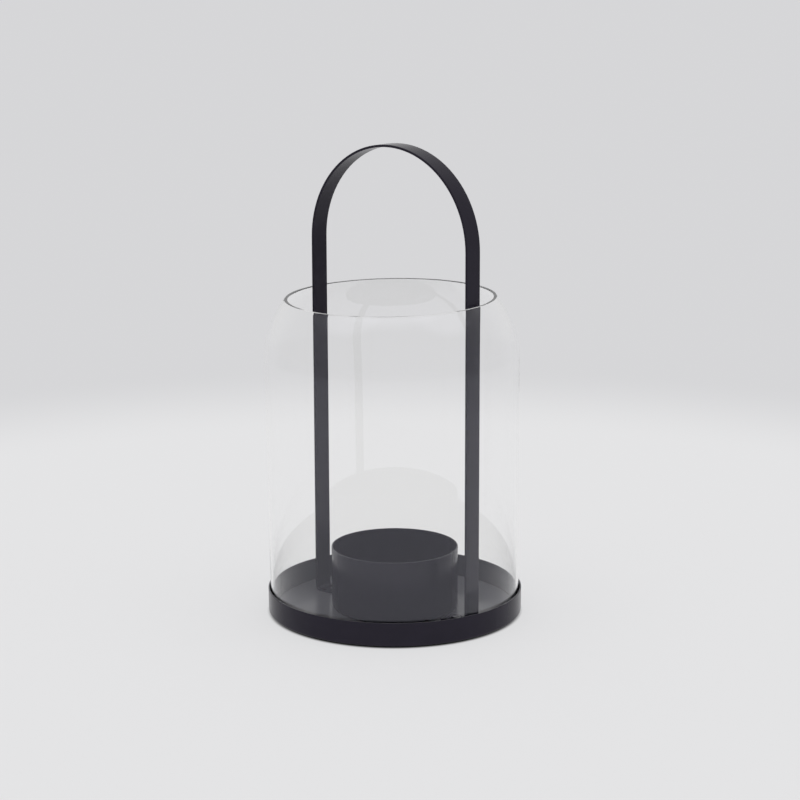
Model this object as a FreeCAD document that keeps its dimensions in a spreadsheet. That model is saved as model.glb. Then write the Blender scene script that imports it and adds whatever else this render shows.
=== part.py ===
import FreeCAD, Part
import math
import os

import Sketcher

# A candle lantern, in millimetres. The origin is the middle of its underside, +Z is up, and the
# handle spans along X. A pressed round tray stands on four thin felt pads. A flat strip, bent into
# an arch, is riveted to the tray by its two inturned feet, and a cup for a pillar candle is riveted
# to the middle. A clear glass chimney, open at both ends, stands loose on the tray round the legs.

# Driving dimensions. Heights are above the table that the pads stand on.
DIMENSIONS = {
    "pad_thick": 1.0,
    "pad_radius": 8.0,
    "pad_reach": 70.0,
    "tray_radius": 85.0,
    "tray_sheet": 0.9,
    "tray_corner": 1.6,
    "rim_height": 16.9,
    "cup_radius": 42.4,
    "cup_sheet": 0.9,
    "cup_corner": 3.0,
    "cup_height": 44.3,
    "sheet_edge": 0.3,
    "strap_width": 13.7,
    "strap_thick": 1.6,
    "strap_half_span": 64.5,
    "strap_bend": 2.4,
    "strap_edge": 0.35,
    "spring_height": 247.6,
    "foot_end": 44.2,
    "foot_rivet_reach": 52.5,
    "rivet_shank": 2.0,
    "rivet_play": 0.05,
    "rivet_head_radius": 4.0,
    "rivet_head_thick": 0.8,
    "rivet_head_edge": 0.35,
    "rivet_dome_radius": 3.6,
    "rivet_dome_thick": 1.2,
    "rivet_dome_edge": 1.0,
    "glass_rest_gap": 0.1,
    "glass_wall": 2.0,
    "glass_foot_radius": 83.2,
    "glass_belly_radius": 84.2,
    "glass_foot_edge": 0.8,
    "glass_lip_edge": 0.5,
    "shoulder_height": 173.9,
    "shoulder_radius": 60.0,
    "lip_height": 213.5,
}
PAD_COUNT = 4
FIRST_PAD_ANGLE = 45

# Heights and sizes that follow from the driving dimensions, as formulas on the sheet.
FLOOR_TOP = "(dims.pad_thick + dims.tray_sheet)"
FOOT_TOP = "(" + FLOOR_TOP + " + dims.strap_thick)"
CUP_FLOOR_TOP = "(" + FLOOR_TOP + " + dims.cup_sheet)"
RIVET_HOLE = "(dims.rivet_shank + dims.rivet_play)"
GLASS_FOOT = "(" + FLOOR_TOP + " + dims.glass_rest_gap)"

# The same heights as numbers, to draw each sketch close to its final size before it is bound.
FLOOR_LEVEL = DIMENSIONS["pad_thick"] + DIMENSIONS["tray_sheet"]
GLASS_FOOT_LEVEL = FLOOR_LEVEL + DIMENSIONS["glass_rest_gap"]

START, END, CENTRE = 1, 2, 3
ORIGIN_POINT = (-1, 1)
X_AXIS, Y_AXIS = -1, -2
# Two lengths are the same when they differ by less than this.
SAME = 1e-4
# A swept strip's volume may differ from its section times its length by this share.
VOLUME_SHARE = 1e-3

doc = FreeCAD.newDocument("candle_lantern")
sheet = doc.addObject("Spreadsheet::Sheet", "dims")
for row, (alias, size) in enumerate(DIMENSIONS.items(), start=1):
    sheet.set(f"A{row}", alias)
    sheet.set(f"B{row}", str(size))
    sheet.setAlias(f"B{row}", alias)
doc.recompute()


def new_body(name):
    """A body whose label is the name of the sub-part's file."""
    body = doc.addObject("PartDesign::Body", name)
    body.Label = name
    return body


def new_sketch(body, name, role):
    """A sketch on one of the body's own origin planes."""
    plane = next(part for part in body.Origin.OriginFeatures if part.Role == role)
    sketch = body.newObject("Sketcher::SketchObject", name)
    sketch.AttachmentSupport = [(plane, "")]
    sketch.MapMode = "FlatFace"
    return sketch


def bind(sketch, label, formula, kind, *where):
    """Add a driving dimension to a sketch and bind it to a formula on the sheet."""
    index = sketch.addConstraint(Sketcher.Constraint(kind, *where))
    sketch.renameConstraint(index, label)
    sketch.setExpression(f"Constraints.{label}", formula)


def add_disc(body, name, radius, start, length):
    """Pad a circle on the body's axis from one height upward."""
    sketch = new_sketch(body, name + "_outline", "XY_Plane")
    sketch.setExpression("AttachmentOffset.Base.z", start)
    circle = Part.Circle()
    disc = sketch.addGeometry(circle)
    sketch.addConstraint(Sketcher.Constraint("Coincident", disc, CENTRE, *ORIGIN_POINT))
    bind(sketch, "radius", radius, "Radius", disc, circle.Radius)
    pad = body.newObject("PartDesign::Pad", name)
    pad.Profile = sketch
    pad.setExpression("Length", length)
    doc.recompute()
    return pad


def ring_edges(shape, height, radius=None):
    """Names of the circular edges centred at one height, of one radius or of any."""
    names = []
    for number, edge in enumerate(shape.Edges, start=1):
        if not isinstance(edge.Curve, Part.Circle):
            continue
        same_height = math.isclose(edge.Curve.Center.z, height, abs_tol=SAME)
        same_radius = radius is None or math.isclose(edge.Curve.Radius, radius, abs_tol=SAME)
        if same_height and same_radius:
            names.append(f"Edge{number}")
    return names


def add_fillet(body, name, edges, radius):
    """Round the named edges of the body's last feature."""
    base = body.Tip
    fillet = body.newObject("PartDesign::Fillet", name)
    fillet.Base = (base, edges)
    fillet.setExpression("Radius", radius)
    doc.recompute()
    return fillet


def pierce(body, name, directions, depth):
    """Punch rivet holes up from z = 0: at the axis for 0, at the left or right foot for -1 or 1."""
    volume_before = body.Tip.Shape.Volume
    reach = DIMENSIONS["foot_rivet_reach"]
    sketch = new_sketch(body, name + "_outline", "XY_Plane")
    for direction in directions:
        circle = Part.Circle()
        circle.Center = FreeCAD.Vector(direction * reach, 0, 0)
        hole = sketch.addGeometry(circle)
        bind(sketch, f"radius_{hole}", RIVET_HOLE, "Radius", hole, circle.Radius)
        if direction == 0:
            sketch.addConstraint(Sketcher.Constraint("Coincident", hole, CENTRE, *ORIGIN_POINT))
            continue
        sketch.addConstraint(Sketcher.Constraint("PointOnObject", hole, CENTRE, X_AXIS))
        ends = (*ORIGIN_POINT, hole, CENTRE) if direction > 0 else (hole, CENTRE, *ORIGIN_POINT)
        bind(sketch, f"reach_{hole}", "dims.foot_rivet_reach", "DistanceX", *ends, reach)
    pocket = body.newObject("PartDesign::Pocket", name)
    pocket.Profile = sketch
    pocket.Reversed = True
    pocket.setExpression("Length", depth)
    doc.recompute()
    if not pocket.Shape.Volume < volume_before:
        raise RuntimeError(f"{name} cut nothing out of {body.Label}")


def pressed_dish(name, prefix, start, top):
    """A round dish of sheet metal with an upright wall and an open top, named by its dimensions."""
    body = new_body(name)
    radius = DIMENSIONS[f"{prefix}_radius"]
    sheet_thick = DIMENSIONS[f"{prefix}_sheet"]
    blank = add_disc(body, "blank", f"dims.{prefix}_radius", start, f"{top} - {start}")
    bottom = blank.Shape.BoundBox.ZMin
    height = blank.Shape.BoundBox.ZMax
    add_fillet(body, "corner", ring_edges(blank.Shape, bottom, radius), f"dims.{prefix}_corner")
    base = body.Tip
    faces = enumerate(base.Shape.Faces, start=1)
    mouth = [f"Face{number}" for number, face in faces if face.CenterOfMass.z > height - SAME]
    shell = body.newObject("PartDesign::Thickness", "shell")
    shell.Base = (base, mouth)
    shell.Reversed = True
    shell.Join = "Intersection"
    shell.setExpression("Value", f"dims.{prefix}_sheet")
    doc.recompute()
    edges = ring_edges(shell.Shape, height, radius)
    edges += ring_edges(shell.Shape, height, radius - sheet_thick)
    add_fillet(body, "edge", edges, "dims.sheet_edge")
    return body


def make_rivet(name, grip_top, reach):
    """A rivet with a thin flat head under the tray and a low domed head on top."""
    body = new_body(name)
    under_tray = "dims.pad_thick"
    head_start = f"{under_tray} - dims.rivet_head_thick"
    add_disc(body, "head", "dims.rivet_head_radius", head_start, "dims.rivet_head_thick")
    add_disc(body, "shank", "dims.rivet_shank", under_tray, f"{grip_top} - {under_tray}")
    dome = add_disc(body, "dome", "dims.rivet_dome_radius", grip_top, "dims.rivet_dome_thick")
    box = dome.Shape.BoundBox
    dome_edges = ring_edges(dome.Shape, box.ZMax, DIMENSIONS["rivet_dome_radius"])
    dome = add_fillet(body, "dome_edge", dome_edges, "dims.rivet_dome_edge")
    head_edges = ring_edges(dome.Shape, box.ZMin, DIMENSIONS["rivet_head_radius"])
    add_fillet(body, "head_edge", head_edges, "dims.rivet_head_edge")
    body.setExpression("Placement.Base.x", reach)
    return body


def make_tray():
    """The base: a shallow dish with a hole for each of the three rivets."""
    body = pressed_dish("base_tray", "tray", "dims.pad_thick", "dims.rim_height")
    pierce(body, "rivet_holes", [-1, 0, 1], FLOOR_TOP)
    return body


def make_cup():
    """The candle cup: a deeper dish on the tray's floor, with one rivet hole."""
    body = pressed_dish("candle_cup", "cup", FLOOR_TOP, "dims.cup_height")
    pierce(body, "rivet_hole", [0], CUP_FLOOR_TOP)
    return body


def strap_path(body):
    """The strip's middle line: foot, bend, leg and half of the arch, then the same mirrored."""
    sketch = new_sketch(body, "path", "XZ_Plane")
    span = DIMENSIONS["strap_half_span"]
    bend = DIMENSIONS["strap_bend"]
    spring = DIMENSIONS["spring_height"]
    end = DIMENSIONS["foot_end"]
    middle = FLOOR_LEVEL + DIMENSIONS["strap_thick"] / 2
    up = FreeCAD.Vector(0, 0, 1)
    half_turn = math.pi
    quarter = math.pi / 2

    def point(x, z):
        return FreeCAD.Vector(x, z, 0)

    def bend_arc(x, first, last):
        centre = point(x, middle + bend)
        return Part.ArcOfCircle(Part.Circle(centre, up, bend), first, last)

    left_foot = sketch.addGeometry(Part.LineSegment(point(-end, middle), point(bend - span, middle)))
    left_bend = sketch.addGeometry(bend_arc(bend - span, half_turn, half_turn + quarter))
    left_leg = sketch.addGeometry(Part.LineSegment(point(-span, middle + bend), point(-span, spring)))
    arch_circle = Part.Circle(point(0, spring), up, span)
    arch = sketch.addGeometry(Part.ArcOfCircle(arch_circle, 0, half_turn))
    right_leg = sketch.addGeometry(Part.LineSegment(point(span, spring), point(span, middle + bend)))
    right_bend = sketch.addGeometry(bend_arc(span - bend, -quarter, 0))
    right_foot = sketch.addGeometry(Part.LineSegment(point(span - bend, middle), point(end, middle)))

    joins = [
        (left_foot, END, left_bend, END),
        (left_bend, START, left_leg, START),
        (left_leg, END, arch, END),
        (arch, START, right_leg, START),
        (right_leg, END, right_bend, END),
        (right_bend, START, right_foot, START),
    ]
    for first, first_end, second, second_end in joins:
        sketch.addConstraint(Sketcher.Constraint("Tangent", first, first_end, second, second_end))
    sketch.addConstraint(Sketcher.Constraint("Horizontal", left_foot))
    sketch.addConstraint(Sketcher.Constraint("Vertical", left_leg))
    sketch.addConstraint(Sketcher.Constraint("Vertical", right_leg))
    sketch.addConstraint(Sketcher.Constraint("Horizontal", right_foot))
    sketch.addConstraint(Sketcher.Constraint("PointOnObject", arch, CENTRE, Y_AXIS))
    sketch.addConstraint(Sketcher.Constraint("Equal", left_bend, right_bend))
    sketch.addConstraint(Sketcher.Constraint("Horizontal", left_leg, START, right_leg, END))
    half_thick = f"{FLOOR_TOP} + dims.strap_thick / 2"
    bind(sketch, "foot_level", half_thick, "DistanceY", *ORIGIN_POINT, left_foot, START, middle)
    bind(sketch, "spring", "dims.spring_height", "DistanceY", *ORIGIN_POINT, arch, CENTRE, spring)
    bind(sketch, "span", "dims.strap_half_span", "Radius", arch, span)
    bind(sketch, "bend", "dims.strap_bend", "Radius", left_bend, bend)
    bind(sketch, "left_end", "dims.foot_end", "DistanceX", left_foot, START, *ORIGIN_POINT, end)
    bind(sketch, "right_end", "dims.foot_end", "DistanceX", *ORIGIN_POINT, right_foot, END, end)
    return sketch


def strap_section(body):
    """The strip's section: a flat rectangle at the end of the left foot."""
    sketch = new_sketch(body, "section", "YZ_Plane")
    sketch.setExpression("AttachmentOffset.Base.z", "-dims.foot_end")
    half_width = DIMENSIONS["strap_width"] / 2
    bottom = FLOOR_LEVEL
    top = bottom + DIMENSIONS["strap_thick"]
    corners = [(-half_width, bottom), (half_width, bottom), (half_width, top), (-half_width, top)]
    for start, end in zip(corners, corners[1:] + corners[:1]):
        sketch.addGeometry(Part.LineSegment(FreeCAD.Vector(*start, 0), FreeCAD.Vector(*end, 0)))
    under, front, over, back = range(len(corners))
    for side, following in [(under, front), (front, over), (over, back), (back, under)]:
        sketch.addConstraint(Sketcher.Constraint("Coincident", side, END, following, START))
    for side in [front, back]:
        sketch.addConstraint(Sketcher.Constraint("Vertical", side))
    sketch.addConstraint(Sketcher.Constraint("Horizontal", over))
    sketch.addConstraint(Sketcher.Constraint("Symmetric", under, START, under, END, Y_AXIS))
    width = 2 * half_width
    bind(sketch, "width", "dims.strap_width", "DistanceX", under, START, under, END, width)
    bind(sketch, "thick", "dims.strap_thick", "DistanceY", front, START, front, END, top - bottom)
    bind(sketch, "level", FLOOR_TOP, "DistanceY", *ORIGIN_POINT, under, START, bottom)
    return sketch


def make_strap():
    """The handle: one strip swept along its middle line, with a rivet hole in each foot."""
    body = new_body("handle_strap")
    path = strap_path(body)
    section = strap_section(body)
    doc.recompute()
    sweep = body.newObject("PartDesign::AdditivePipe", "strip")
    sweep.Profile = section
    sweep.Spine = (path, [f"Edge{number}" for number in range(1, len(path.Shape.Edges) + 1)])
    doc.recompute()
    strip_volume = DIMENSIONS["strap_width"] * DIMENSIONS["strap_thick"] * path.Shape.Length
    if not math.isclose(sweep.Shape.Volume, strip_volume, rel_tol=VOLUME_SHARE):
        raise RuntimeError("the swept strip has the wrong volume")

    # The four long corners of the strip lie at full half width. The short edges down the two
    # square-cut ends lie there too, and stay sharp.
    half_width = DIMENSIONS["strap_width"] / 2
    long_edges = []
    for number, edge in enumerate(sweep.Shape.Edges, start=1):
        box = edge.BoundBox
        on_side = box.YLength < SAME and math.isclose(abs(box.Center.y), half_width, abs_tol=SAME)
        at_end = math.isclose(abs(box.Center.x), DIMENSIONS["foot_end"], abs_tol=SAME)
        down_end = at_end and box.XLength < SAME
        if on_side and not down_end:
            long_edges.append(f"Edge{number}")
    add_fillet(body, "rolled_edges", long_edges, "dims.strap_edge")

    # The holes go through the feet and stop well below the arch.
    pierce(body, "rivet_holes", [-1, 1], FOOT_TOP)
    return body


def glass_outline(body):
    """Half section of the chimney's wall: foot, tapered side, round shoulder and flat-cut lip."""
    sketch = new_sketch(body, "half_section", "XZ_Plane")
    wall = DIMENSIONS["glass_wall"]
    foot = GLASS_FOOT_LEVEL
    foot_radius = DIMENSIONS["glass_foot_radius"]
    belly = DIMENSIONS["glass_belly_radius"]
    shoulder = DIMENSIONS["shoulder_height"]
    bend = DIMENSIONS["shoulder_radius"]
    lip = DIMENSIONS["lip_height"]
    centre = FreeCAD.Vector(belly - bend, shoulder, 0)
    outer_turn = math.asin((lip - shoulder) / bend)
    inner_turn = math.asin((lip - shoulder) / (bend - wall))
    out_of_page = FreeCAD.Vector(0, 0, 1)
    inner_foot = FreeCAD.Vector(foot_radius - wall, foot, 0)
    outer_foot = FreeCAD.Vector(foot_radius, foot, 0)
    outer_belly = FreeCAD.Vector(belly, shoulder, 0)
    inner_belly = FreeCAD.Vector(belly - wall, shoulder, 0)
    base = sketch.addGeometry(Part.LineSegment(inner_foot, outer_foot))
    outside = sketch.addGeometry(Part.LineSegment(outer_foot, outer_belly))
    outer_bend = Part.ArcOfCircle(Part.Circle(centre, out_of_page, bend), 0, outer_turn)
    inner_bend = Part.ArcOfCircle(Part.Circle(centre, out_of_page, bend - wall), 0, inner_turn)
    outer_arc = sketch.addGeometry(outer_bend)
    mouth = sketch.addGeometry(Part.LineSegment(outer_bend.EndPoint, inner_bend.EndPoint))
    inner_arc = sketch.addGeometry(inner_bend)
    inside = sketch.addGeometry(Part.LineSegment(inner_belly, inner_foot))

    sketch.addConstraint(Sketcher.Constraint("Coincident", base, END, outside, START))
    sketch.addConstraint(Sketcher.Constraint("Tangent", outside, END, outer_arc, START))
    sketch.addConstraint(Sketcher.Constraint("Coincident", outer_arc, END, mouth, START))
    sketch.addConstraint(Sketcher.Constraint("Coincident", mouth, END, inner_arc, END))
    sketch.addConstraint(Sketcher.Constraint("Tangent", inner_arc, START, inside, START))
    sketch.addConstraint(Sketcher.Constraint("Coincident", inside, END, base, START))
    sketch.addConstraint(Sketcher.Constraint("Coincident", outer_arc, CENTRE, inner_arc, CENTRE))
    sketch.addConstraint(Sketcher.Constraint("Horizontal", base))
    sketch.addConstraint(Sketcher.Constraint("Horizontal", mouth))
    sketch.addConstraint(Sketcher.Constraint("Parallel", inside, outside))
    to_base = (*ORIGIN_POINT, base, END)
    to_belly = (*ORIGIN_POINT, outside, END)
    to_lip = (*ORIGIN_POINT, outer_arc, END)
    inner_radius = "dims.shoulder_radius - dims.glass_wall"
    bind(sketch, "foot", GLASS_FOOT, "DistanceY", *to_base, foot)
    bind(sketch, "foot_radius", "dims.glass_foot_radius", "DistanceX", *to_base, foot_radius)
    bind(sketch, "belly", "dims.glass_belly_radius", "DistanceX", *to_belly, belly)
    bind(sketch, "shoulder", "dims.shoulder_height", "DistanceY", *to_belly, shoulder)
    bind(sketch, "bend", "dims.shoulder_radius", "Radius", outer_arc, bend)
    bind(sketch, "inner_bend", inner_radius, "Radius", inner_arc, bend - wall)
    bind(sketch, "lip", "dims.lip_height", "DistanceY", *to_lip, lip)
    return sketch


def make_glass():
    """The chimney: the half section turned about Z, with its foot and lip edges rounded."""
    body = new_body("glass_chimney")
    outline = glass_outline(body)
    turned = body.newObject("PartDesign::Revolution", "turned")
    turned.Profile = outline
    turned.ReferenceAxis = (outline, ["V_Axis"])
    turned.Angle = 360
    doc.recompute()
    foot_rings = ring_edges(turned.Shape, GLASS_FOOT_LEVEL)
    rounded = add_fillet(body, "foot_edge", foot_rings, "dims.glass_foot_edge")
    lip_rings = ring_edges(rounded.Shape, DIMENSIONS["lip_height"])
    add_fillet(body, "lip_edge", lip_rings, "dims.glass_lip_edge")
    return body


def make_pads():
    """Thin felt discs under the tray, evenly spaced, between the rivets and the rim."""
    pads = []
    for number in range(PAD_COUNT):
        body = new_body(f"pad_{number + 1}")
        add_disc(body, "disc", "dims.pad_radius", "0", "dims.pad_thick")
        angle = f"{FIRST_PAD_ANGLE + 360 * number / PAD_COUNT} deg"
        body.setExpression("Placement.Base.x", f"dims.pad_reach * cos({angle})")
        body.setExpression("Placement.Base.y", f"dims.pad_reach * sin({angle})")
        pads.append(body)
    return pads


subparts = [make_tray(), make_cup(), make_strap(), make_glass()]
subparts.append(make_rivet("cup_rivet", CUP_FLOOR_TOP, "0"))
subparts.append(make_rivet("foot_rivet_left", FOOT_TOP, "-dims.foot_rivet_reach"))
subparts.append(make_rivet("foot_rivet_right", FOOT_TOP, "dims.foot_rivet_reach"))
subparts += make_pads()
doc.recompute()

for item in doc.Objects:
    if "Invalid" in item.State or "Error" in item.State:
        raise RuntimeError(f"{item.Label} failed: {item.State}")
for subpart in subparts:
    if subpart.Shape.isNull() or not subpart.Shape.isValid():
        raise RuntimeError(f"{subpart.Label} has no valid shape")

os.makedirs("parts", exist_ok=True)
for subpart in subparts:
    subpart.Shape.exportStep(f"parts/{subpart.Label}.step")
    box = subpart.Shape.BoundBox
    print(f"{subpart.Label}: {subpart.Shape.Volume:.1f} mm3, z {box.ZMin:.2f} to {box.ZMax:.2f}")
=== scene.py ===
import math

import bpy
from mathutils import Euler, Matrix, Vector, noise


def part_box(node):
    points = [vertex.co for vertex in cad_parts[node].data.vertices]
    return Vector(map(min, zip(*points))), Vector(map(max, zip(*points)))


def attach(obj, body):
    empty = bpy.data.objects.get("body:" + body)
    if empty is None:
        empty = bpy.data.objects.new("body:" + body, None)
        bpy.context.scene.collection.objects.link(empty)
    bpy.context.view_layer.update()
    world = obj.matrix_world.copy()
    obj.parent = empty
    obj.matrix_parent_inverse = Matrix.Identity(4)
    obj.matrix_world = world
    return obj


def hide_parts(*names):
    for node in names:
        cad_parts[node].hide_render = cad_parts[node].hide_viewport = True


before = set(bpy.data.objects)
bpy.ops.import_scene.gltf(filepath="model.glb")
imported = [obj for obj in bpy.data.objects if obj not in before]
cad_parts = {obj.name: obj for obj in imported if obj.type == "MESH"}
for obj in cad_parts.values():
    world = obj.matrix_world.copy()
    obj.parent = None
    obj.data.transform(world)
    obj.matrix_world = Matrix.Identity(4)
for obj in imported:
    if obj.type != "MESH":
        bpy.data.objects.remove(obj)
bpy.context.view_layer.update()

# The looks of a candle lantern. Everything is in metres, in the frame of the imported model: the
# origin is the middle of the underside, +Z is up, and the handle spans along X.

# Camera: it stands off the handle's plane by its azimuth, above the table, and looks a little down.
CAMERA_AZIMUTH = math.radians(39.08)
CAMERA_DISTANCE = 1.418
CAMERA_SIDESTEP = 0.0033
CAMERA_HEIGHT = 0.4541
CAMERA_PITCH = math.radians(12.362)
CAMERA_ROLL = math.radians(-0.15)
CAMERA_LENS_MM = 98.73
CAMERA_SHIFT = (0.0009, 0.0009)
CAMERA_SEES_TO = 100

# Light can cross the glass's edges many times, and they go black if it is stopped early.
GLASS_BOUNCES = 48

# Room: the light from each direction. It changes from in front of the lantern to behind it, and
# there is a soft glow overhead and a soft lamp high on each side. A turn or a spread says where
# the change starts and ends, as the cosine of the angle from its middle.
ROOM_TINT = (0.995, 0.995, 1.0, 1)
ROOM_FRONT = 0.51
ROOM_BACK = 0.68
ROOM_TURN = (0.2, 0.7)
OVERHEAD_GLOW = 0.8
OVERHEAD_SPREAD = (0.78, 0.97)
LAMP_GLOW = 0.5
LAMP_SPREAD = (0.90, 0.99)
LAMP_PLACES = ((-1.1, -0.5, 2.0), (1.3, -0.3, 1.8))

# Paper floor: it glows like a light table, but not in the shade under the tray. Far from the
# lantern it greys a little, a painted shade for a rising sweep, and dims to the sides and in front.
FLOOR_RADIUS = 30.0
FLOOR_SIDES = 128
FLOOR_GREY = (0.2, 0.2, 0.2, 1)
FLOOR_GLOW = 0.614
FLOOR_TINT = (1.0, 1.0, 1.013, 1)
# Painted shade for the backdrop's sweep: the glow's colour far from the lantern.
SWEEP_SHADE_TINT = (0.832, 0.832, 0.852, 1)
SWEEP_SHADE_FROM_TO = (0.53, 0.82)
SHADE_FROM_TO = (0.082, 0.0865)
DIM_FROM_TO = (0.70, 1.25)
DIM_MOST = 0.35

# Metal finishes. A finish's tone and roughness vary by their spread, and faces whose normal points
# nearly straight up get a lighter colour, a painted reflection.
COAT_COLOR = (0.0215, 0.0186, 0.0300)
COAT_ROUGHNESS = 0.19
RIVET_COLOR = (0.0200, 0.0180, 0.0270)
RIVET_ROUGHNESS = 0.28
# Painted reflection: the lighter colour given to faces that point straight up.
PAINTED_REFLECTION_COLOR = (0.172, 0.172, 0.188)
PAINTED_REFLECTION_NORMAL_Z = 0.97
TONE_SPREAD = 0.18
ROUGHNESS_SPREAD = 0.06
METAL_SPECULAR = 0.13

# Glass chimney, where the frame's boxes don't give it. It leans towards -Y, and its lip is cut
# with a slope to match. The whole wall strays a little from a true circle, and its outside and
# inside stray less, each on its own.
GLASS_WALL = 0.0016
LIP_OUTER_EDGE = 0.0003
LIP_INNER_EDGE = 0.0002
GLASS_LEAN = 0.0165
LIP_SLOPE = 0.0226
GLASS_TAPER = 0.001
SHOULDER_RADIUS = 0.060
SHOULDER_HEIGHT = 0.1739
TURN_STEPS = 240
SIDE_STEPS = 60
SHOULDER_STEPS = 44
EDGE_STEPS = 10
STRAY_TOGETHER = 0.00012
STRAY_APART = 0.00006

# Felt pads: the rounding of their edges as a share of half their thickness, and how far their
# outline strays from a circle.
PAD_ROUNDING = 0.6
PAD_EDGE_STEPS = 4
PAD_TURN_STEPS = 48
PAD_RAGGEDNESS = 0.00012
PAD_RAGS_PER_METRE = 900


def studio_place(right, away, up):
    """A point given as the camera sees it: to its right, away from it and up, from the lantern."""
    across = Vector((math.cos(CAMERA_AZIMUTH), math.sin(CAMERA_AZIMUTH), 0))
    ahead = Vector((-math.sin(CAMERA_AZIMUTH), math.cos(CAMERA_AZIMUTH), 0))
    return right * across + away * ahead + Vector((0, 0, up))


def add_camera():
    """The camera, looking along its azimuth with a slight pitch and roll."""
    data = bpy.data.cameras.new("camera")
    data.lens = CAMERA_LENS_MM
    data.shift_x, data.shift_y = CAMERA_SHIFT
    data.clip_end = CAMERA_SEES_TO
    camera = bpy.data.objects.new("camera", data)
    bpy.context.scene.collection.objects.link(camera)
    camera.location = studio_place(CAMERA_SIDESTEP, -CAMERA_DISTANCE, CAMERA_HEIGHT)
    turn = Euler((math.pi / 2 - CAMERA_PITCH, 0, CAMERA_AZIMUTH)).to_quaternion()
    roll = Euler((0, 0, CAMERA_ROLL)).to_quaternion()
    camera.rotation_euler = (turn @ roll).to_euler()
    bpy.context.scene.camera = camera


def set_light():
    """Plain colours, and enough bounces for the glass."""
    scene = bpy.context.scene
    scene.view_settings.view_transform = "Standard"
    scene.cycles.max_bounces = GLASS_BOUNCES
    scene.cycles.transmission_bounces = GLASS_BOUNCES
    scene.cycles.glossy_bounces = GLASS_BOUNCES


def add_node(tree, kind, **settings):
    """A new node. Each setting is one of its properties, or else the start value of an input."""
    node = tree.nodes.new(kind)
    for key, value in settings.items():
        if hasattr(node, key):
            setattr(node, key, value)
        else:
            node.inputs[key.replace("_", " ")].default_value = value
    return node


def new_material(name):
    """A new node material, with its node tree, its shader and its texture coordinates."""
    material = bpy.data.materials.new(name)
    material.use_nodes = True
    tree = material.node_tree
    return material, tree, tree.nodes["Principled BSDF"], add_node(tree, "ShaderNodeTexCoord")


def add_noise(tree, place, **settings):
    """The level of a noise texture laid over the object."""
    texture = add_node(tree, "ShaderNodeTexNoise", **settings)
    tree.links.new(place.outputs["Object"], texture.inputs["Vector"])
    return texture.outputs["Fac"]


def add_bump(tree, height, strength, distance, normal=None):
    """The normal of a bumpy surface, over another normal if one is given."""
    bump = add_node(tree, "ShaderNodeBump", Strength=strength, Distance=distance)
    tree.links.new(height, bump.inputs["Height"])
    if normal:
        tree.links.new(normal, bump.inputs["Normal"])
    return bump.outputs["Normal"]


def add_step(tree, value, start, end, low=0.0, high=1.0):
    """A value's smooth step, from low at its start to high at its end."""
    step = add_node(tree, "ShaderNodeMapRange", interpolation_type="SMOOTHSTEP",
                    From_Min=start, From_Max=end, To_Min=low, To_Max=high)
    tree.links.new(value, step.inputs["Value"])
    return step.outputs["Result"]


def add_math(tree, operation, first, second):
    """The result of an operation on two values, each a number or another node's output."""
    result = add_node(tree, "ShaderNodeMath", operation=operation)
    for socket, value in zip(result.inputs, (first, second)):
        if isinstance(value, float):
            socket.default_value = value
        else:
            tree.links.new(value, socket)
    return result.outputs["Value"]


def add_share(tree, vector, direction):
    """How much of a vector lies along a direction."""
    share = add_node(tree, "ShaderNodeVectorMath", operation="DOT_PRODUCT")
    share.inputs[1].default_value = direction
    tree.links.new(vector, share.inputs[0])
    return share.outputs["Value"]


def powder_coat(name, color, roughness, top_reflection_color):
    """Fine-textured satin powder coat, with another colour where it faces up, a painted reflection.
    """
    material, tree, shader, place = new_material(name)
    grain = add_noise(tree, place, Scale=2600.0, Detail=3.0)
    peel = add_noise(tree, place, Scale=700.0, Detail=2.0)
    cloud = add_noise(tree, place, Scale=60.0, Detail=4.0)

    darker = (*[(1 - TONE_SPREAD) * part for part in color], 1)
    lighter = (*[(1 + TONE_SPREAD) * part for part in color], 1)
    tone = add_node(tree, "ShaderNodeMix", data_type="RGBA", A=darker, B=lighter)
    tree.links.new(cloud, tone.inputs["Factor"])
    # Painted reflection: where the normal points nearly straight up, the colour turns lighter.
    facing = add_node(tree, "ShaderNodeSeparateXYZ")
    tree.links.new(place.outputs["Normal"], facing.inputs["Vector"])
    upward = add_step(tree, facing.outputs["Z"], PAINTED_REFLECTION_NORMAL_Z, 1.0)
    painted_top = add_node(tree, "ShaderNodeMix", data_type="RGBA", B=(*top_reflection_color, 1))
    tree.links.new(upward, painted_top.inputs["Factor"])
    tree.links.new(tone.outputs["Result"], painted_top.inputs["A"])
    tree.links.new(painted_top.outputs["Result"], shader.inputs["Base Color"])

    gloss = add_node(tree, "ShaderNodeMapRange",
                     To_Min=roughness - ROUGHNESS_SPREAD, To_Max=roughness + ROUGHNESS_SPREAD)
    tree.links.new(cloud, gloss.inputs["Value"])
    tree.links.new(gloss.outputs["Result"], shader.inputs["Roughness"])

    fine = add_bump(tree, grain, strength=0.25, distance=0.00003)
    coarse = add_bump(tree, peel, strength=0.2, distance=0.00010, normal=fine)
    tree.links.new(coarse, shader.inputs["Normal"])
    shader.inputs["Specular IOR Level"].default_value = METAL_SPECULAR
    return material


def clear_glass():
    """Clear mouth-blown glass, very slightly uneven, with reflections a little blue."""
    material, tree, shader, place = new_material("clear_glass")
    wave = add_noise(tree, place, Scale=18.0, Detail=1.0)
    tree.links.new(add_bump(tree, wave, strength=0.05, distance=0.001), shader.inputs["Normal"])
    shader.inputs["Base Color"].default_value = (1, 1, 1, 1)
    shader.inputs["Transmission Weight"].default_value = 1.0
    shader.inputs["Roughness"].default_value = 0.0
    shader.inputs["IOR"].default_value = 1.46
    shader.inputs["Specular Tint"].default_value = (0.88, 0.88, 1, 1)
    return material


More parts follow.
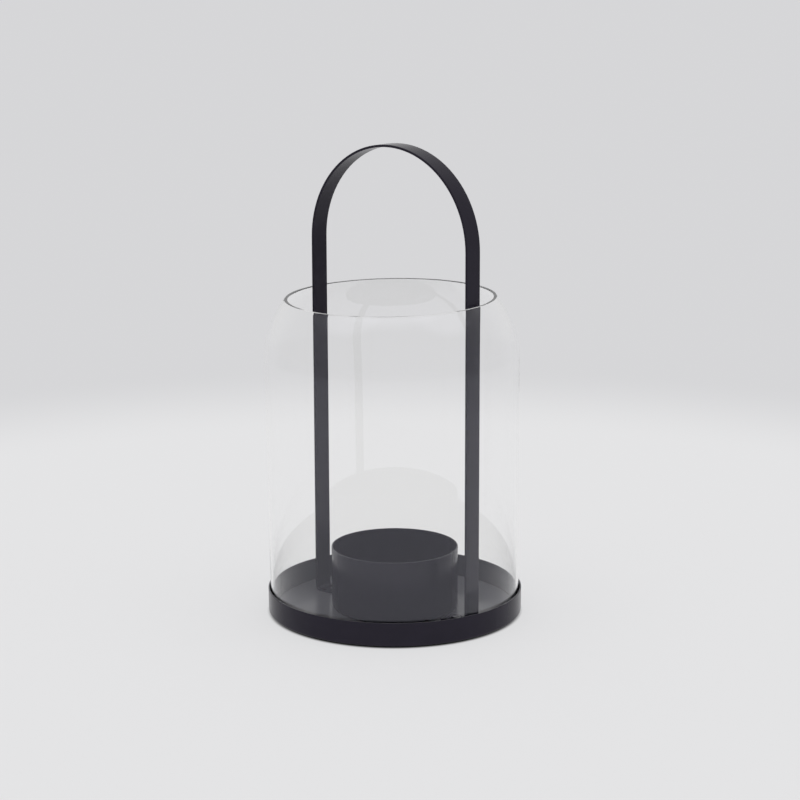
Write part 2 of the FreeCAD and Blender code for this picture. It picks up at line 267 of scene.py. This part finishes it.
def felt():
    """Pressed felt: matted fibres with a soft sheen."""
    material, tree, shader, place = new_material("felt")
    fibres = add_noise(tree, place, Scale=1500.0, Detail=6.0, Distortion=1.5)
    ramp = add_node(tree, "ShaderNodeValToRGB")
    ramp.color_ramp.elements[0].color = (0.018, 0.018, 0.02, 1)
    ramp.color_ramp.elements[1].color = (0.06, 0.058, 0.062, 1)
    tree.links.new(fibres, ramp.inputs["Fac"])
    tree.links.new(ramp.outputs["Color"], shader.inputs["Base Color"])
    tree.links.new(add_bump(tree, fibres, strength=0.8, distance=0.0002), shader.inputs["Normal"])
    shader.inputs["Roughness"].default_value = 0.95
    shader.inputs["Sheen Weight"].default_value = 0.4
    return material


def floor_paper():
    """White glowing paper: shaded under the tray, painted shade at the sweep, dimmer beside and in
    front.
    """
    material, tree, shader, place = new_material("floor_paper")
    reach = add_node(tree, "ShaderNodeVectorMath", operation="LENGTH")
    toward = add_node(tree, "ShaderNodeVectorMath", operation="NORMALIZE")
    for node in (reach, toward):
        tree.links.new(place.outputs["Object"], node.inputs[0])
    distance = reach.outputs["Value"]

    # Painted shade: the glow's colour turns greyer far from the lantern, for a rising sweep.
    tone = add_node(tree, "ShaderNodeMix", data_type="RGBA", A=FLOOR_TINT, B=SWEEP_SHADE_TINT)
    tree.links.new(add_step(tree, distance, *SWEEP_SHADE_FROM_TO), tone.inputs["Factor"])
    tree.links.new(tone.outputs["Result"], shader.inputs["Emission Color"])

    lit = add_step(tree, distance, *SHADE_FROM_TO, high=FLOOR_GLOW)
    beyond = add_step(tree, distance, *DIM_FROM_TO, high=DIM_MOST)
    away = add_share(tree, toward.outputs["Vector"], studio_place(0, 1, 0))
    nearer = add_step(tree, away, *ROOM_TURN, low=1.0, high=0.0)
    kept = add_math(tree, "SUBTRACT", 1.0, add_math(tree, "MULTIPLY", beyond, nearer))
    tree.links.new(add_math(tree, "MULTIPLY", lit, kept), shader.inputs["Emission Strength"])

    shader.inputs["Base Color"].default_value = FLOOR_GREY
    shader.inputs["Roughness"].default_value = 1.0
    shader.inputs["Specular IOR Level"].default_value = 0.0
    return material


def mesh_object(name, points, faces, material):
    """A smooth-shaded mesh object in the scene."""
    mesh = bpy.data.meshes.new(name)
    mesh.from_pydata(points, [], faces)
    mesh.validate()
    mesh.polygons.foreach_set("use_smooth", [True] * len(mesh.polygons))
    mesh.materials.append(material)
    piece = bpy.data.objects.new(name, mesh)
    bpy.context.scene.collection.objects.link(piece)
    return piece


def turned(name, section, steps, material, shift=None):
    """Turn a closed section of (radius, height) points about Z, with an optional radial shift.

    A point on the axis is one shared vertex."""
    points, rings = [], []
    for radius, height in section:
        if radius == 0:
            rings.append([len(points)] * steps)
            points.append((0, 0, height))
            continue
        rings.append(list(range(len(points), len(points) + steps)))
        for step in range(steps):
            angle = 2 * math.pi * step / steps
            reach = radius + (shift(angle, radius, height) if shift else 0)
            points.append((reach * math.cos(angle), reach * math.sin(angle), height))
    faces = []
    for ring, after in zip(rings, rings[1:] + rings[:1]):
        for step in range(steps):
            there = (step + 1) % steps
            corners = dict.fromkeys((ring[step], ring[there], after[there], after[step]))
            if len(corners) > 2:
                faces.append(tuple(corners))
    return mesh_object(name, points, faces, material)


def arc_points(centre, radius, start, end, steps):
    """Points on an arc, without its last point."""
    points = []
    for step in range(steps):
        angle = start + (end - start) * step / steps
        points.append((centre[0] + radius * math.cos(angle), centre[1] + radius * math.sin(angle)))
    return points


def line_points(start, end, steps):
    """Points on a straight line, without its last point."""
    points = []
    for step in range(steps):
        share = step / steps
        points.append(tuple(a + (b - a) * share for a, b in zip(start, end)))
    return points


def rounded_corner(before, corner, after, radius, steps):
    """Points of the arc that rounds the corner between two straight lines, with both its ends."""
    back = (Vector(before) - Vector(corner)).normalized()
    ahead = (Vector(after) - Vector(corner)).normalized()
    half_turn = math.acos(back.dot(ahead)) / 2
    centre = Vector(corner) + (back + ahead).normalized() * radius / math.sin(half_turn)
    first = Vector(corner) + back * radius / math.tan(half_turn) - centre
    last = Vector(corner) + ahead * radius / math.tan(half_turn) - centre
    turn = first.angle_signed(last)
    points = []
    for step in range(steps + 1):
        angle = -turn * step / steps
        across = first.x * math.cos(angle) - first.y * math.sin(angle)
        up = first.x * math.sin(angle) + first.y * math.cos(angle)
        points.append((centre.x + across, centre.y + up))
    return points


def shoulder_point(centre, reach, height):
    """Where the shoulder's circle of that radius is at a height, outside its centre."""
    rise = height - centre[1]
    return (centre[0] + math.sqrt(reach ** 2 - rise ** 2), height)


def glass_section():
    """The wall's half section: outside, shoulder, flat-cut lip, inside and round foot."""
    low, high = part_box("glass_chimney")
    half = GLASS_WALL / 2
    foot_radius = high.x - GLASS_TAPER
    foot_height = low.z + half
    inner_radius = SHOULDER_RADIUS - GLASS_WALL
    centre = (high.x - SHOULDER_RADIUS, SHOULDER_HEIGHT)
    below = high.z - GLASS_WALL
    top = math.asin((below - SHOULDER_HEIGHT) / SHOULDER_RADIUS)
    outer_lip = shoulder_point(centre, SHOULDER_RADIUS, high.z)
    inner_lip = shoulder_point(centre, inner_radius, high.z)
    outer_below = shoulder_point(centre, SHOULDER_RADIUS, below)
    inner_below = shoulder_point(centre, inner_radius, below)

    section = line_points((foot_radius, foot_height), (high.x, SHOULDER_HEIGHT), SIDE_STEPS)
    section += arc_points(centre, SHOULDER_RADIUS, 0, top, SHOULDER_STEPS)
    section += rounded_corner(outer_below, outer_lip, inner_lip, LIP_OUTER_EDGE, EDGE_STEPS)
    section += rounded_corner(outer_lip, inner_lip, inner_below, LIP_INNER_EDGE, EDGE_STEPS)
    section += arc_points(centre, inner_radius, top, 0, SHOULDER_STEPS)
    section += line_points((high.x - GLASS_WALL, SHOULDER_HEIGHT),
                           (foot_radius - GLASS_WALL, foot_height), SIDE_STEPS)
    section += arc_points((foot_radius - half, foot_height), half, math.pi, 2 * math.pi, EDGE_STEPS)
    return section


def hand_blown(angle, radius, height):
    """How far the glass wall strays from a true circle, different inside and outside."""
    across = Vector((math.cos(angle), math.sin(angle), height * 12))
    together = noise.noise(across * 0.9 + Vector((3.1, 7.7, 0)))
    apart = noise.noise(across * 1.7 + Vector((9.3, 1.2, 40 * radius)))
    return STRAY_TOGETHER * together + STRAY_APART * apart


def make_glass():
    """The chimney, in place of its CAD solid: it leans a little, and its lip slopes to match."""
    low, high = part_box("glass_chimney")
    piece = turned("chimney_glass", glass_section(), TURN_STEPS, clear_glass(), hand_blown)
    for vertex in piece.data.vertices:
        rise = vertex.co.z - low.z
        vertex.co.z += LIP_SLOPE * vertex.co.y * rise / (high.z - low.z)
        vertex.co.y -= GLASS_LEAN * rise
    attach(piece, "chimney")
    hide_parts("glass_chimney")


def make_pads(material):
    """The felt pads: soft-edged discs, slightly uneven round their rims."""
    for number in range(1, 5):
        node = f"pad_{number}"
        low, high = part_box(node)
        centre = (low + high) / 2
        radius = (high.x - low.x) / 2
        edge = (high.z - low.z) / 2 * PAD_ROUNDING
        flat = radius - edge
        section = [(0, low.z)]
        section += arc_points((flat, low.z + edge), edge, -math.pi / 2, 0, PAD_EDGE_STEPS)
        section += arc_points((flat, high.z - edge), edge, 0, math.pi / 2, PAD_EDGE_STEPS)
        section += [(flat, high.z), (0, high.z)]
        piece = turned(f"felt_{node}", section, PAD_TURN_STEPS, material)
        for vertex in piece.data.vertices:
            out = Vector((vertex.co.x, vertex.co.y, 0))
            ragged = noise.noise(PAD_RAGS_PER_METRE * out + Vector((0, 0, number)))
            if out.length > radius / 2:
                vertex.co += out.normalized() * ragged * PAD_RAGGEDNESS
            vertex.co += Vector((centre.x, centre.y, 0))
        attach(piece, "lantern")
        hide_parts(node)


def finish_cad_nodes():
    """Give the metal nodes, whose shapes are right, their materials. The handle gets no painted
    reflection.
    """
    coat = powder_coat("powder_coat", COAT_COLOR, COAT_ROUGHNESS, PAINTED_REFLECTION_COLOR)
    # The handle's coat keeps its own colour facing up, so it has no painted reflection.
    coat_without_painted_reflection = powder_coat("handle_coat", COAT_COLOR, COAT_ROUGHNESS, COAT_COLOR)
    rivet = powder_coat("rivet_steel", RIVET_COLOR, RIVET_ROUGHNESS, PAINTED_REFLECTION_COLOR)
    materials = {"base_tray": coat, "candle_cup": coat, "handle_strap": coat_without_painted_reflection}
    for name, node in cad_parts.items():
        if name.startswith(("pad", "glass")):
            continue
        node.data.materials.clear()
        node.data.materials.append(materials.get(name, rivet))


def add_room():
    """The room's even light: a little brighter behind the lantern than in front, and above."""
    world = bpy.data.worlds.new("room")
    bpy.context.scene.world = world
    world.use_nodes = True
    tree = world.node_tree
    toward = add_node(tree, "ShaderNodeTexCoord").outputs["Generated"]

    away = add_share(tree, toward, studio_place(0, 1, 0))
    total = add_step(tree, away, *ROOM_TURN, ROOM_FRONT, ROOM_BACK)
    up = add_share(tree, toward, (0, 0, 1))
    total = add_math(tree, "ADD", total, add_step(tree, up, *OVERHEAD_SPREAD, high=OVERHEAD_GLOW))
    for place in LAMP_PLACES:
        near_lamp = add_share(tree, toward, studio_place(*place).normalized())
        lamp = add_step(tree, near_lamp, *LAMP_SPREAD, high=LAMP_GLOW)
        total = add_math(tree, "ADD", total, lamp)
    background = tree.nodes["Background"]
    background.inputs["Color"].default_value = ROOM_TINT
    tree.links.new(total, background.inputs["Strength"])


def add_floor():
    """The paper floor, a disc far wider than any view shows."""
    points = arc_points((0, 0), FLOOR_RADIUS, 0, 2 * math.pi, FLOOR_SIDES)
    points = [(x, y, 0) for x, y in points]
    mesh_object("paper_floor", points, [tuple(range(FLOOR_SIDES))], floor_paper())


set_light()
add_camera()
add_floor()
add_room()
finish_cad_nodes()
make_glass()
make_pads(felt())
